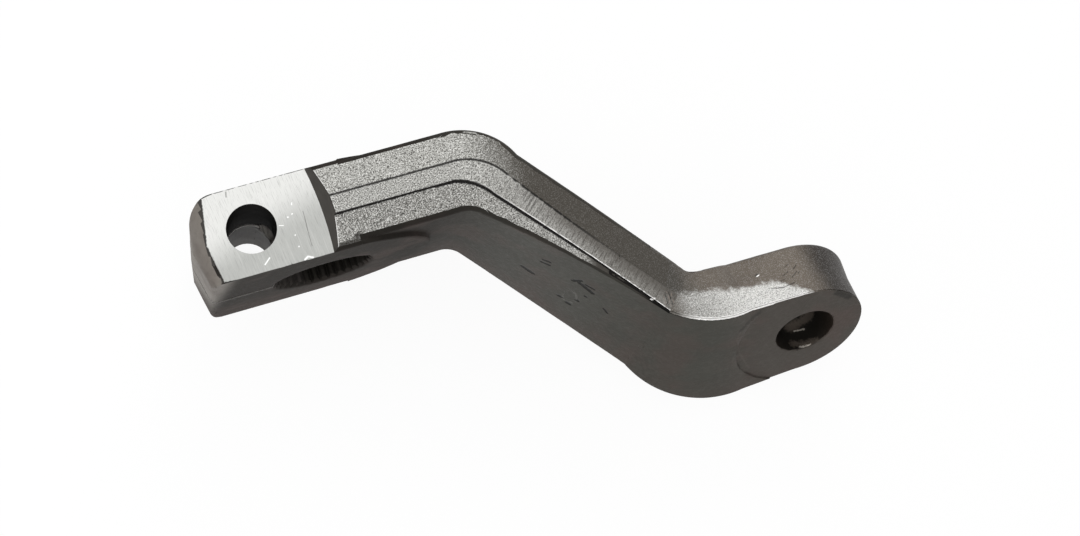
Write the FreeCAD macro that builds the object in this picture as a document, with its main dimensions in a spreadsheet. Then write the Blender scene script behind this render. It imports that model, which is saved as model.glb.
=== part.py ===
import FreeCAD, Part
import os
import Sketcher
from FreeCAD import Vector

# A forged steering arm for a heavy truck. X runs along the arm from the splined bore to the
# eye, Y is the axis of the bore and Z, upwards, is the axis of the pinch bolt. The origin is
# on the axis of the bore. All sizes are in millimetres and degrees.

SIZES = {
    # Clamping boss, splined bore and the slit that lets the boss close on its shaft
    "boss_topside": 19.0,
    "boss_underside": 18.5,
    "boss_face_radius": 48.3,
    "boss_length": 14.0,
    "clamp_end": 53.3,
    "end_ridge": 1.5,
    "end_upper_draft": 9.0,
    "end_lower_draft": 12.0,
    "end_top_round": 12.0,
    "end_low_round": 2.5,
    "end_corner_round": 18.0,
    "end_corner_draft": 6.0,
    "end_corner_clearance": 0.4,
    "spline_crest_radius": 21.15,
    "spline_root_radius": 22.25,
    "spline_groove_width": 2.1,
    "spline_floor_width": 0.4,
    "spline_teeth": 36,
    "bore_mouth_radius": 22.9,
    "slit_width": 3.0,
    # Milled pads and the pinch bolt's hole through them
    "pad_half_span": 44.4,
    "pad_edge": 2.45,
    "cutter_radius": 150.0,
    "cutter_drop": 7.0,
    "cutter_bevel": 8.0,
    "bolt_radius": 10.45,
    "bolt_distance": 27.7,
    # Level part of the forged bar, and the drafts and rounds that all of the bar shares
    "arm_topside": 18.4,
    "arm_underside": 16.6,
    "parting_height": 0.5,
    "land_height": 8.0,
    "upper_draft": 9.0,
    "lower_draft": 8.0,
    "top_round": 2.9,
    # Line that the bar follows, along the middle of its underside
    "first_corner": 63.0,
    "bend_angle": 46.2,
    "first_bend_radius": 11.2,
    "second_bend_radius": 57.9,
    "eye_reach": 197.1,
    "eye_drop": 103.6,
    # Slim low edge of the bar from the second bend to the eye
    "slim_land_low": 1.0,
    "slim_low_round": 0.6,
    "slim_step": 0.3,
    # Eye, its faces and its tapered hole
    "eye_turn": 1.8,
    "eye_draft": -6.0,
    "eye_face_radius": 33.8,
    "eye_face_depth": 0.5,
    "hole_offset": 2.2,
    "taper_mouth_radius": 13.9,
    "taper_half_angle": 3.58,
    "taper_chamfer": 0.5,
    "nut_face_radius": 23.0,
}

# Sections of the bar in order from the boss: the two bends, with one section inside each, and
# the slope between them, which narrows and twists. A section's land lies between land_low and
# land_high above its underside, tilt turns it about the bar's line, and shift and lift move it
# off that line, away from the side that faces up and towards the topside.
SECTIONS = {
    "root": {
        "half_width": 49.0, "land_low": 13.0, "land_high": 21.1, "low_round": 3.0, "step": 0.7,
    },
    "elbow": {
        "half_width": 48.3, "thickness": 34.4, "land_low": 11.3, "land_high": 21.2, "low_round": 2.8,
        "step": 0.75, "tilt": 0.0, "shift": -0.4, "lift": 0.0,
    },
    "shoulder": {
        "half_width": 47.5, "thickness": 30.1, "land_low": 9.6, "land_high": 19.5, "low_round": 2.6,
        "step": 0.8, "tilt": 0.1, "shift": -0.9, "lift": 0.0,
    },
    "middle": {
        "half_width": 40.4, "thickness": 25.5, "land_low": 4.2, "land_high": 11.9, "low_round": 1.4,
        "step": 0.5, "tilt": 6.9, "shift": 0.6, "lift": 0.5,
    },
    "waist": {
        "half_width": 30.2, "thickness": 25.2, "land_high": 10.1, "tilt": 17.0, "shift": 3.1, "lift": 0.0,
    },
    "bow": {
        "half_width": 32.3, "thickness": 30.4, "land_high": 16.5, "tilt": 24.7, "shift": 2.3, "lift": -2.1,
    },
    "neck": {
        "half_width": 31.0, "thickness": 30.1, "land_high": 12.3, "tilt": 28.8, "shift": 2.1, "lift": 0.0,
    },
    "eye": {
        "half_width": 29.8, "thickness": 27.8, "land_high": 14.7, "tilt": 28.2, "shift": 0.3, "lift": -0.5,
    },
}

# How far the outlines of cuts reach past the surfaces that they cut
REACH = 1
MARGIN = 20

doc = FreeCAD.newDocument("pitman_arm")
sheet = doc.addObject("Spreadsheet::Sheet", "Sizes")
cells = dict(SIZES)
for name, sizes in SECTIONS.items():
    for key, number in sizes.items():
        cells[f"{name}_{key}"] = number
for row, (alias, number) in enumerate(cells.items(), start=1):
    sheet.set(f"A{row}", alias)
    sheet.set(f"B{row}", str(number))
    sheet.setAlias(f"B{row}", alias)
doc.recompute()

body = doc.addObject("PartDesign::Body", "PitmanArm")
body.Label = "pitman_arm"
TOP = "Sizes.boss_topside"
UNDER = "Sizes.boss_underside"
BOSS_HEIGHT = f"({TOP} + {UNDER})"
CREST = "Sizes.spline_crest_radius"
ROOT = "Sizes.spline_root_radius"
PAD = "Sizes.pad_half_span"
BEND = "Sizes.bend_angle"
UNDERSIDE = "Sizes.arm_underside"
DROP = "Sizes.eye_drop"
OUTSIDE = f"-Sizes.clamp_end - {MARGIN}"
INSIDE = f"{MARGIN} - Sizes.clamp_end"


def value(expression):
    return float(body.evalExpression(expression))


def sketch_on(role, name, offset=""):
    plane = next(item for item in body.Origin.OriginFeatures if item.Role == role)
    sketch = body.newObject("Sketcher::SketchObject", name)
    sketch.AttachmentSupport = [(plane, "")]
    sketch.MapMode = "FlatFace"
    if offset:
        sketch.setExpression("AttachmentOffset", offset)
    return sketch


def moved(x, y, z, turn="rotationx(0)"):
    return f"placement(vector({x}; {y}; {z}); {turn})"


def bind(sketch, constraint, expression):
    index = sketch.addConstraint(constraint)
    sketch.setExpression(f"Constraints[{index}]", expression)


# Draws straight lines through corners, each an x, a y and, where it is rounded, a radius
def add_outline(sketch, corners, closed=True):
    spots = [Vector(value(corner[0]), value(corner[1]), 0) for corner in corners]
    ends = spots[1:] + spots[:1] if closed else spots[1:]
    lines = [sketch.addGeometry(Part.LineSegment(start, end)) for start, end in zip(spots, ends)]
    for line, following in zip(lines, lines[1:] + lines[:1] if closed else lines[1:]):
        sketch.addConstraint(Sketcher.Constraint("Coincident", line, 2, following, 1))
    places = [(line, 1) for line in lines]
    if not closed:
        places.append((lines[-1], 2))
    for (line, end), spot, corner in zip(places, spots, corners):
        bind(sketch, Sketcher.Constraint("DistanceX", -1, 1, line, end, spot.x), corner[0])
        bind(sketch, Sketcher.Constraint("DistanceY", -1, 1, line, end, spot.y), corner[1])
    for (line, end), corner in zip(places, corners):
        if len(corner) > 2:
            radius = value(corner[2])
            arc = sketch.GeometryCount
            sketch.fillet(line, end, radius, True, True, False)
            bind(sketch, Sketcher.Constraint("Radius", arc, radius), corner[2])


def add_circle(sketch, x, y, radius):
    centre = Vector(value(x), value(y), 0)
    circle = sketch.addGeometry(Part.Circle(centre, Vector(0, 0, 1), value(radius)))
    bind(sketch, Sketcher.Constraint("DistanceX", -1, 1, circle, 3, centre.x), x)
    bind(sketch, Sketcher.Constraint("DistanceY", -1, 1, circle, 3, centre.y), y)
    bind(sketch, Sketcher.Constraint("Radius", circle, value(radius)), radius)


def add_feature(kind, name, profile, bound=(), **settings):
    feature = body.newObject(f"PartDesign::{kind}", name)
    feature.Profile = profile
    for key, setting in settings.items():
        setattr(feature, key, setting)
    for key, expression in dict(bound).items():
        feature.setExpression(key, expression)
    return feature


# One side of a section, from the edge of its underside up over the step and the land
def side_corners(name, thickness, land_low, land_high, low_round, step, upper_draft):
    half_width = f"Sizes.{name}_half_width"
    foot = f"{half_width} - {step} - ({land_low}) * tan(Sizes.lower_draft)"
    brow = f"{half_width} - ({thickness} - ({land_high})) * tan({upper_draft})"
    return [
        (foot, "0", low_round),
        (f"{half_width} - {step}", land_low),
        (half_width, land_low),
        (half_width, land_high),
        (brow, thickness, "Sizes.top_round"),
    ]


# The same for a section with sizes of its own, or for one with the bar's slim low edge
def own_corners(name, upper_draft="Sizes.upper_draft"):
    own = f"Sizes.{name}"
    low = own if f"{name}_land_low" in cells else "Sizes.slim"
    return side_corners(
        name, f"{own}_thickness", f"{low}_land_low", f"{own}_land_high", f"{low}_low_round",
        f"{low}_step", upper_draft,
    )


# Where a section stands: at a point of the bar's line, turned as the line is there
def station(name, x, y, turn):
    tilt = f"Sizes.{name}_tilt"
    shift = f"Sizes.{name}_shift"
    lift = f"Sizes.{name}_lift"
    rise = f"({lift} * cos({tilt}) - {shift} * sin({tilt}))"
    return moved(
        f"{x} - {rise} * sin({turn})",
        f"{y} + {rise} * cos({turn})",
        f"-({shift}) * cos({tilt}) - {lift} * sin({tilt})",
        f"rotationz({turn}) * rotationx(-({tilt})) * rotationy(-90)",
    )


def add_section(name, place, corners):
    sketch = sketch_on("XY_Plane", name, place)
    mirrored = [(f"-({corner[0]})", *corner[1:]) for corner in reversed(corners)]
    add_outline(sketch, corners + mirrored)
    return sketch


def bar_section(name, x, y, turn):
    return add_section(f"{name}_section", station(name, x, y, turn), own_corners(name))


def level_section(name, x, underside, topside):
    parting = f"{underside} + Sizes.parting_height"
    corners = side_corners(
        "root", f"{underside} + {topside}", f"{parting} - Sizes.land_height / 2",
        f"{parting} + Sizes.land_height / 2", "Sizes.root_low_round", "Sizes.root_step", "Sizes.upper_draft",
    )
    return add_section(name, moved(x, f"-{underside}", "0", "rotationy(-90)"), corners)


# The bar's line in its middle plane
first_tangent = f"(Sizes.first_bend_radius * tan({BEND} / 2))"
second_tangent = f"(Sizes.second_bend_radius * tan({BEND} / 2))"
second_corner = f"(Sizes.first_corner + ({DROP} - {UNDERSIDE}) / tan({BEND}))"
root_end = f"(Sizes.first_corner - {first_tangent})"
neck_start = f"({second_corner} + {second_tangent})"
elbow_x = f"({root_end} + Sizes.first_bend_radius * sin({BEND} / 2))"
elbow_y = f"(-{UNDERSIDE} - Sizes.first_bend_radius * (1 - cos({BEND} / 2)))"
shoulder_x = f"(Sizes.first_corner + {first_tangent} * cos({BEND}))"
shoulder_y = f"(-{UNDERSIDE} - {first_tangent} * sin({BEND}))"
waist_x = f"({second_corner} - {second_tangent} * cos({BEND}))"
waist_y = f"(-{DROP} + {second_tangent} * sin({BEND}))"
bow_x = f"({neck_start} - Sizes.second_bend_radius * sin({BEND} / 2))"
bow_y = f"(-{DROP} + Sizes.second_bend_radius * (1 - cos({BEND} / 2)))"
arm_line = sketch_on("XY_Plane", "arm_line")
add_outline(arm_line, [
    ("Sizes.boss_length", f"-{UNDERSIDE}"),
    ("Sizes.first_corner", f"-{UNDERSIDE}", "Sizes.first_bend_radius"),
    (second_corner, f"-{DROP}", "Sizes.second_bend_radius"),
    ("Sizes.eye_reach", f"-{DROP}"),
], closed=False)

# Forging: the boss and the level part of the bar
boss = level_section("boss_section", "Sizes.boss_length", UNDER, TOP)
boss_length = f"Sizes.boss_length + Sizes.clamp_end + {MARGIN}"
add_feature("Pad", "boss", boss, {"Length": boss_length})
root = level_section("root_section", root_end, UNDERSIDE, "Sizes.arm_topside")
add_feature("Pad", "root", root, {"Length": f"{root_end} - Sizes.boss_length"})

# Forging: the first bend, the slope, the second bend and the eye
elbow = bar_section("elbow", elbow_x, elbow_y, f"-{BEND} / 2")
shoulder = bar_section("shoulder", shoulder_x, shoulder_y, f"-{BEND}")
middle = bar_section("middle", f"({shoulder_x} + {waist_x}) / 2", f"({shoulder_y} + {waist_y}) / 2", f"-{BEND}")
waist = bar_section("waist", waist_x, waist_y, f"-{BEND}")
bow = bar_section("bow", bow_x, bow_y, f"-{BEND} / 2")
neck = bar_section("neck", neck_start, f"-{DROP}", "0")
eye_place = station("eye", "Sizes.eye_reach", f"-{DROP}", "-Sizes.eye_turn")
eye_corners = own_corners("eye", "Sizes.eye_draft")
eye = add_section("eye_section", eye_place, eye_corners)
bend_settings = {"Mode": "Binormal", "Binormal": Vector(0, 0, 1), "Transformation": "Multisection"}
add_feature(
    "AdditivePipe", "first_bend", root, Spine=(arm_line, ["Edge2"]),
    Sections=[(elbow, [""]), (shoulder, [""])], **bend_settings,
)
add_feature("AdditiveLoft", "slope", shoulder, Sections=[(middle, [""]), (waist, [""])])
add_feature(
    "AdditivePipe", "second_bend", waist, Spine=(arm_line, ["Edge4"]),
    Sections=[(bow, [""]), (neck, [""])], **bend_settings,
)
add_feature("AdditiveLoft", "neck", neck, Sections=[(eye, [""])])
eye_profile = sketch_on("XY_Plane", "eye_profile", eye_place)
add_outline(eye_profile, [("0", "0"), *eye_corners, ("0", "Sizes.eye_thickness")])
add_feature("Revolution", "eye", eye_profile, ReferenceAxis=(eye_profile, ["V_Axis"]), Angle=180)

# Forging: the round faces of the boss, which stand proud of the bar beyond it
boss_face = sketch_on("XZ_Plane", "boss_face", moved("0", "0", f"-{TOP}"))
chord = value("sqrt(Sizes.boss_face_radius ^ 2 - Sizes.boss_length ^ 2)")
start = Vector(value("Sizes.boss_length"), -chord, 0)
tip = Vector(value("Sizes.boss_face_radius"), 0, 0)
end = Vector(start.x, chord, 0)
arc = boss_face.addGeometry(Part.Arc(start, tip, end))
line = boss_face.addGeometry(Part.LineSegment(end, start))
boss_face.addConstraint(Sketcher.Constraint("Coincident", arc, 2, line, 1))
boss_face.addConstraint(Sketcher.Constraint("Coincident", line, 2, arc, 1))
boss_face.addConstraint(Sketcher.Constraint("Coincident", arc, 3, -1, 1))
boss_face.addConstraint(Sketcher.Constraint("Vertical", line))
bind(boss_face, Sketcher.Constraint("Radius", arc, tip.x), "Sizes.boss_face_radius")
bind(boss_face, Sketcher.Constraint("DistanceX", -1, 1, line, 1, start.x), "Sizes.boss_length")
add_feature("Pad", "round_faces", boss_face, {"Length": BOSS_HEIGHT})

# Machining: the pads, faced by a wide cutter that leaves a curved, sloping step
cutter = sketch_on("XZ_Plane", "cutter", moved("Sizes.pad_edge - Sizes.cutter_radius", "0", "Sizes.cutter_drop"))
inner = f"Sizes.cutter_radius - Sizes.pad_edge - Sizes.clamp_end - {MARGIN}"
rim = f"{PAD} + Sizes.cutter_bevel"
for side in ("", "-"):
    add_outline(cutter, [
        (inner, f"{side}{PAD}"),
        ("Sizes.cutter_radius", f"{side}{PAD}"),
        ("Sizes.cutter_radius + Sizes.cutter_bevel", f"{side}({rim})"),
        (inner, f"{side}({rim})"),
    ])
add_feature("Groove", "pads", cutter, ReferenceAxis=(cutter, ["V_Axis"]), Angle=360)

# Forging: the end wall, drafted both ways from its ridge, and its upright corners
end_wall = sketch_on("XY_Plane", "end_wall")
add_outline(end_wall, [
    (INSIDE, f"-{UNDER}"),
    (f"({UNDER} - Sizes.end_ridge) * tan(Sizes.end_lower_draft) - Sizes.clamp_end", f"-{UNDER}", "Sizes.end_low_round"),
    ("-Sizes.clamp_end", "-Sizes.end_ridge"),
    (f"({TOP} + Sizes.end_ridge) * tan(Sizes.end_upper_draft) - Sizes.clamp_end", TOP, "Sizes.end_top_round"),
    (INSIDE, TOP),
    (INSIDE, f"{TOP} + {MARGIN}"),
    (OUTSIDE, f"{TOP} + {MARGIN}"),
    (OUTSIDE, f"-{UNDER} - {MARGIN}"),
    (INSIDE, f"-{UNDER} - {MARGIN}"),
])
add_feature("Pocket", "end_wall_cut", end_wall, {"Length": "3 * Sizes.root_half_width"}, Midplane=True)
end_corners = sketch_on("XZ_Plane", "end_corners", moved("0", "0", "Sizes.end_ridge"))
wall = "-Sizes.clamp_end - Sizes.end_corner_clearance"
half_width = "Sizes.root_half_width"
add_outline(end_corners, [
    (INSIDE, half_width),
    (wall, half_width, "Sizes.end_corner_round"),
    (wall, f"-{half_width}", "Sizes.end_corner_round"),
    (INSIDE, f"-{half_width}"),
    (INSIDE, f"-{half_width} - {MARGIN}"),
    (OUTSIDE, f"-{half_width} - {MARGIN}"),
    (OUTSIDE, f"{half_width} + {MARGIN}"),
    (INSIDE, f"{half_width} + {MARGIN}"),
])
for name, downwards in (("upper_corner_cut", False), ("lower_corner_cut", True)):
    drafted = {"Length": BOSS_HEIGHT, "TaperAngle": "Sizes.end_corner_draft"}
    add_feature("Pocket", name, end_corners, drafted, Reversed=downwards)

# Machining: the bore with its bevelled mouths, its teeth and the slit
bore = sketch_on("XZ_Plane", "bore")
add_circle(bore, "0", "0", CREST)
add_feature("Pocket", "bore_cut", bore, {"Length": f"3 * {BOSS_HEIGHT}"}, Midplane=True)
mouths = sketch_on("XY_Plane", "mouths")
for side, face in (("", TOP), ("-", UNDER)):
    add_outline(mouths, [
        (f"{CREST} - {REACH}", f"{side}({face} + {REACH})"),
        (f"Sizes.bore_mouth_radius + {REACH}", f"{side}({face} + {REACH})"),
        (f"{CREST} - {REACH}", f"{side}({face} - (Sizes.bore_mouth_radius - {CREST}) - {REACH})"),
    ])
add_feature("Groove", "mouth_cut", mouths, ReferenceAxis=(mouths, ["V_Axis"]), Angle=360)
tooth = sketch_on("XZ_Plane", "tooth")
flank = f"(Sizes.spline_groove_width - Sizes.spline_floor_width) / 2 / ({ROOT} - {CREST})"
open_half = f"Sizes.spline_groove_width / 2 + {REACH} * {flank}"
add_outline(tooth, [
    (f"{CREST} - {REACH}", open_half),
    (f"{CREST} - {REACH}", f"-({open_half})"),
    (ROOT, "-Sizes.spline_floor_width / 2"),
    (ROOT, "Sizes.spline_floor_width / 2"),
])
groove = add_feature("Pocket", "groove_cut", tooth, {"Length": f"3 * {BOSS_HEIGHT}"}, Midplane=True)
teeth = body.newObject("PartDesign::PolarPattern", "teeth")
teeth.Originals = [groove]
teeth.Axis = (bore, ["N_Axis"])
teeth.Angle = 360
teeth.setExpression("Occurrences", "Sizes.spline_teeth")
body.Tip = teeth
slit = sketch_on("XZ_Plane", "slit")
add_outline(slit, [
    (OUTSIDE, "Sizes.slit_width / 2"),
    (f"-{CREST} / 2", "Sizes.slit_width / 2"),
    (f"-{CREST} / 2", "-Sizes.slit_width / 2"),
    (OUTSIDE, "-Sizes.slit_width / 2"),
])
add_feature("Pocket", "slit_cut", slit, {"Length": f"3 * {BOSS_HEIGHT}"}, Midplane=True)

# Machining: the pinch bolt's hole, which breaks into the bore
bolt_hole = sketch_on("XY_Plane", "bolt_hole")
add_circle(bolt_hole, "-Sizes.bolt_distance", "Sizes.parting_height", "Sizes.bolt_radius")
add_feature("Pocket", "bolt_hole_cut", bolt_hole, {"Length": f"4 * {PAD}"}, Midplane=True)

# Machining: the eye's faces and its tapered hole, widest in the underside
hole_x = "Sizes.eye_reach + Sizes.hole_offset * cos(Sizes.eye_turn)"
hole_y = f"-{DROP} - Sizes.hole_offset * sin(Sizes.eye_turn)"
hole_place = station("eye", hole_x, hole_y, "-Sizes.eye_turn")
eye_faces = sketch_on("XY_Plane", "eye_faces", hole_place)
top_face = "Sizes.eye_thickness - Sizes.eye_face_depth"
add_outline(eye_faces, [
    ("0", f"-{MARGIN}"),
    ("Sizes.eye_face_radius", f"-{MARGIN}"),
    ("Sizes.eye_face_radius", "Sizes.eye_face_depth"),
    ("0", "Sizes.eye_face_depth"),
])
add_outline(eye_faces, [
    ("0", top_face),
    ("Sizes.nut_face_radius", top_face),
    ("Sizes.nut_face_radius", f"{top_face} + {MARGIN}"),
    ("0", f"{top_face} + {MARGIN}"),
])
add_feature("Groove", "eye_faces_cut", eye_faces, ReferenceAxis=(eye_faces, ["V_Axis"]), Angle=360)
taper = sketch_on("XY_Plane", "taper", hole_place)
past_bevel = f"Sizes.taper_chamfer + {REACH}"
narrow = f"Sizes.taper_mouth_radius - ({top_face} + {REACH}) * tan(Sizes.taper_half_angle)"
add_outline(taper, [
    ("0", f"Sizes.eye_face_depth - {REACH}"),
    (f"Sizes.taper_mouth_radius + {past_bevel}", f"Sizes.eye_face_depth - {REACH}"),
    ("Sizes.taper_mouth_radius", "Sizes.eye_face_depth + Sizes.taper_chamfer"),
    (narrow, f"{top_face} + {REACH}"),
    ("0", f"{top_face} + {REACH}"),
])
add_feature("Groove", "taper_cut", taper, ReferenceAxis=(taper, ["V_Axis"]), Angle=360)

body.Placement = FreeCAD.Placement()
doc.recompute()

for item in doc.Objects:
    if "Invalid" in item.State or "Error" in item.State:
        raise RuntimeError(f"{item.Label}: {item.getStatusString()}")
if body.Shape.isNull() or not body.Shape.isValid():
    raise RuntimeError(f"{body.Label} has no valid shape")

os.makedirs("parts", exist_ok=True)
body.Shape.exportStep(f"parts/{body.Label}.step")
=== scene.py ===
from math import radians

import bpy
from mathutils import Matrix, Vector
from mathutils.kdtree import KDTree


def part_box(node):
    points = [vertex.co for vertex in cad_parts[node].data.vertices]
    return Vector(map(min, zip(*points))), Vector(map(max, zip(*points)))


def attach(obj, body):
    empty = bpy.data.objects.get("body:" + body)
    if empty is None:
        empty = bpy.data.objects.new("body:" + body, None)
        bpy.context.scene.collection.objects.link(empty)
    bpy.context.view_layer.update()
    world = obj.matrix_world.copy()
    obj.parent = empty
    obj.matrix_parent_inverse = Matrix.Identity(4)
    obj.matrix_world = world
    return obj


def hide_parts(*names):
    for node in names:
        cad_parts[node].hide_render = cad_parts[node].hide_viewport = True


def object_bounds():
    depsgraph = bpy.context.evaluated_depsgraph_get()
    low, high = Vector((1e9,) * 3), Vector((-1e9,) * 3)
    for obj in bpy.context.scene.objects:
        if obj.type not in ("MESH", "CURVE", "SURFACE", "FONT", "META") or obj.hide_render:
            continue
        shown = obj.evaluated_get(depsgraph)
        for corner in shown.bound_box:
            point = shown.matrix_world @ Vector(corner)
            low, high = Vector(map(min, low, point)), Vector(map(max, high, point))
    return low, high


# Sizes of the arm. The bore's axis is y, the arm runs along x from the bore to the eye, and the
# pads look along z.
MM = 0.001
PAD_HEIGHT = 44.4 * MM
PAD_END = 8.0 * MM
MOUTH_RADIUS = 22.95 * MM
SLIT_WIDTH = 3.0 * MM
BOLT_AXIS = Vector((-27.7, 0.5, 0.0)) * MM
BOLT_RADIUS = 10.45 * MM
BOLT_BEVEL = 0.6 * MM
EYE_CENTRE = Vector((199.294, -103.811, -0.264)) * MM
EYE_AXIS = Vector((0.02768, 0.88087, -0.47255))
TAPER_RADIUS = 14.45 * MM
SPOT_FACE_RADIUS = 33.8 * MM
UPPER_DRAFT = 0.1564
LOWER_DRAFT = 0.1392
SLOPE = Vector((0.692, -0.722, 0.0))
SLOPE_UP = Vector((0.722, 0.692, 0.0))
BEND_UP = (SLOPE_UP + EYE_AXIS).normalized()

# Where its parts begin and end along x, and how far out their sides lie along z
WALL_END, WALL_SIDE = 30 * MM, 44 * MM
LEVEL_START, LEVEL_END, LEVEL_SIDE = 14 * MM, 56 * MM, 46 * MM
SLIVER_START = 75 * MM
CORNER_START, CORNER_END = 130 * MM, 170 * MM
NECK_START = 141 * MM
NECK_TURN = 155 * MM
EYE_START = 160 * MM
DARK_LINE_END = Vector((135.5, -68, 26)) * MM

# How the mesh is worked
MERGE_DISTANCE = 1e-6
FLUSH = 0.02 * MM
FLAT_WIDTH = 0.05 * MM
SLIVER_AREA = 1.5 * MM * MM
STEP_WIDTH = 2.2 * MM
SWELL_SIZE = 22.0 * MM
SWELL_DEPTH = 0.2 * MM
CORNER_REACH = 7 * MM
SOFT_REACH = 5 * MM

# How the finishes are drawn. Places, sizes and distances in them are in millimetres, turns are in
# degrees, and only the heights of the bumps are in metres.
FARTHEST = 9.0
NEVER = 400.0
WEAR_SIZE = 1.1
SHEAR_TURN = 46.2
MILLING_TURN = -6.0
RING_CENTRE, RING_RADIUS, RING_STRETCH = (102.2, -58.0, -6.1), 3.1, (1.0, 1.0, 0.42)
BLACK = (0.004, 0.004, 0.003)
WHITE = (1.0, 1.0, 1.0)

SKIN, PAD, BORED, WALL, UPPER, LAND, LOWER, NECK = range(8)

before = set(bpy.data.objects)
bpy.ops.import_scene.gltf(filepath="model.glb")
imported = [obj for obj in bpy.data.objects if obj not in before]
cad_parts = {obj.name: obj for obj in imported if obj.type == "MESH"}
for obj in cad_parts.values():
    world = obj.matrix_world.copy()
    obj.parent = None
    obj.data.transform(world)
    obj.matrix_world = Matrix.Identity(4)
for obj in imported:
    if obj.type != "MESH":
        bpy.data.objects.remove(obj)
cad_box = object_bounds()
bpy.ops.object.select_all(action="DESELECT")


class Value:
    """A number that varies over a surface: a socket that Python's operators work on."""

    def __init__(self, finish, socket):
        self.finish = finish
        self.socket = socket

    def __add__(self, other):
        return self.finish.maths("ADD", self, other)

    def __radd__(self, other):
        return self.finish.maths("ADD", other, self)

    def __sub__(self, other):
        return self.finish.maths("SUBTRACT", self, other)

    def __rsub__(self, other):
        return self.finish.maths("SUBTRACT", other, self)

    def __mul__(self, other):
        return self.finish.maths("MULTIPLY", self, other)

    def __rmul__(self, other):
        return self.finish.maths("MULTIPLY", other, self)


class Finish:
    """A node material, with its surface pattern in millimetres of the object's own space."""

    def __init__(self, name, **fixed):
        self.material = bpy.data.materials.new(name)
        self.material.use_nodes = True
        self.tree = self.material.node_tree
        self.shader = self.tree.nodes["Principled BSDF"]
        self.set(**fixed)
        self.point = self.vector("SCALE", self.node("TexCoord", "Object"), Scale=1 / MM)
        self.x, self.y, self.z = self.split(self.point)
        self.pushed = {}

    def link(self, socket, source):
        if isinstance(source, Value):
            self.tree.links.new(source.socket, socket)
        elif isinstance(source, (tuple, Vector)) and len(source) < len(socket.default_value):
            socket.default_value = (*source, 1.0)
        else:
            socket.default_value = source

    def set(self, **inputs):
        for name, source in inputs.items():
            self.link(self.shader.inputs[name.replace("_", " ")], source)

    def node(self, kind, output=0, settings=None, inputs=None, **named):
        node = self.tree.nodes.new(f"ShaderNode{kind}")
        for name, setting in (settings or {}).items():
            setattr(node, name, setting)
        for index, source in (inputs or {}).items():
            self.link(node.inputs[index], source)
        for name, source in named.items():
            self.link(node.inputs[name.replace("_", " ")], source)
        return Value(self, node.outputs[output])

    def maths(self, operation, *numbers):
        return self.node("Math", 0, {"operation": operation}, dict(enumerate(numbers)))

    def vector(self, operation, *vectors, output=0, **named):
        inputs = dict(enumerate(vectors))
        return self.node("VectorMath", output, {"operation": operation}, inputs, **named)

    def split(self, vector):
        parts = self.node("SeparateXYZ", "X", Vector=vector).socket.node
        return [Value(self, parts.outputs[axis]) for axis in "XYZ"]

    def noise(self, size, detail, roughness, stretch=(1, 1, 1), shift=(0, 0, 0), turn=0.0):
        settings = {"vector_type": "POINT"}
        turned = {"Vector": self.point, "Location": shift, "Rotation": (0, 0, radians(turn))}
        place = self.vector("MULTIPLY", self.node("Mapping", 0, settings, **turned), stretch)
        look = {"Detail": detail, "Roughness": roughness}
        return self.node("TexNoise", "Fac", Vector=place, Scale=1 / size, **look)

    def ramp(self, value, zero, one):
        """0 where value has reached zero, 1 where it has reached one, and a soft course between."""
        settings = {"interpolation_type": "SMOOTHSTEP"}
        limits = {1: zero, 2: one, 3: 0.0, 4: 1.0}
        return self.node("MapRange", "Result", settings, limits, Value=value)

    def past(self, zero, one):
        """A ramp along the arm, between two places on x in mm."""
        return self.ramp(self.x, zero, one)

    def mix(self, factor, first, second):
        settings = {"data_type": "RGBA", "clamp_factor": True}
        return self.node("Mix", 2, settings, {0: factor, 6: first, 7: second})

    def ragged(self, wear):
        """The object's own space, pushed about by up to half of wear, so that marks look worn."""
        if wear not in self.pushed:
            grain = {"Scale": 1 / WEAR_SIZE, "Detail": 2.0}
            push = self.node("TexNoise", "Color", Vector=self.point, **grain)
            push = self.vector("SUBTRACT", push, (0.5, 0.5, 0.5))
            push = self.vector("MULTIPLY", push, (wear,) * 3)
            self.pushed[wear] = self.vector("ADD", self.point, push)
        return self.pushed[wear]

    def stroke(self, start, end, width, wear=1.0):
        """1 along a straight mark between two points and 0 beyond its half width."""
        span = Vector(end) - Vector(start)
        away = self.vector("SUBTRACT", self.ragged(wear), start)
        share = self.vector("DOT_PRODUCT", away, span / span.length_squared, output="Value")
        share = self.node("Clamp", Value=share)
        beside = self.vector("SUBTRACT", away, self.vector("SCALE", span, Scale=share))
        return self.ramp(self.vector("LENGTH", beside, output="Value"), width, width * 0.35)

    def strokes(self, marks):
        drawn = self.stroke(*marks[0])
        for mark in marks[1:]:
            drawn = self.maths("MAXIMUM", drawn, self.stroke(*mark))
        return drawn

    def marked(self, name):
        """The distance in mm from a line, which the mesh carries as an attribute."""
        return self.node("Attribute", "Fac", {"attribute_name": name})

    def bump(self, height, distance, strength=1.0, **under):
        return self.node("Bump", Height=height, Distance=distance, Strength=strength, **under)


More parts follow.
